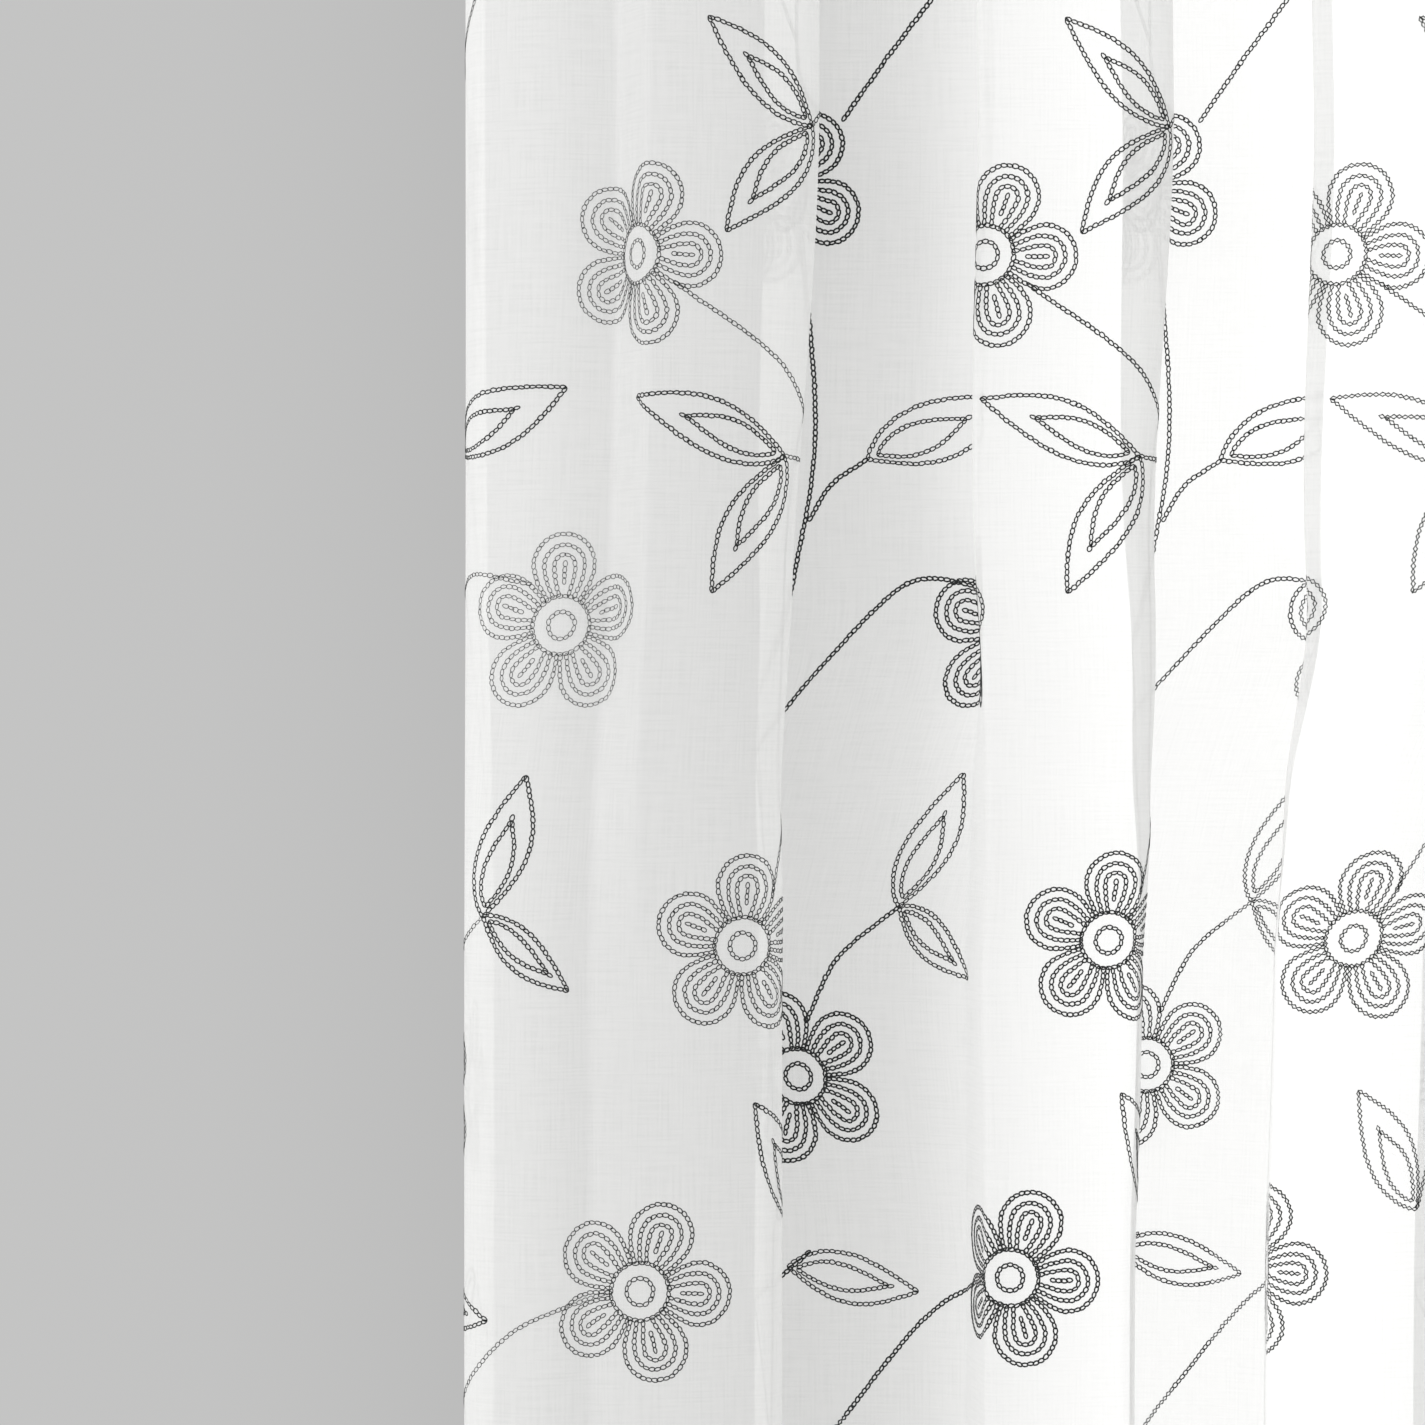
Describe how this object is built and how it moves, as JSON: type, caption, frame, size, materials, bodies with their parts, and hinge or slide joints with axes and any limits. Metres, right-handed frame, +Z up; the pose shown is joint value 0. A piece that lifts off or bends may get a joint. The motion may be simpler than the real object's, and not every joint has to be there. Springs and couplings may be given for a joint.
{
  "type": "sheer voile curtain",
  "caption": "Hung panel of sheer voile in deep uneven vertical folds, with plain hems, held along its top edge.",
  "frame": {"origin": "middle of the top edge, on the line where the curtain is held", "axes": "+X to the right along the curtain as seen from the room, +Y back towards the window, +Z up"},
  "size_m": [0.7972, 0.2172, 2.45],
  "materials": {
    "voile": "fine plain-weave white voile, semi-transparent, with charcoal chain stitching",
    "thread": "charcoal embroidery thread with a slight sheen"
  },
  "bodies": {
    "root": {"voile_panel": "voile"}
  },
  "joints": []
}
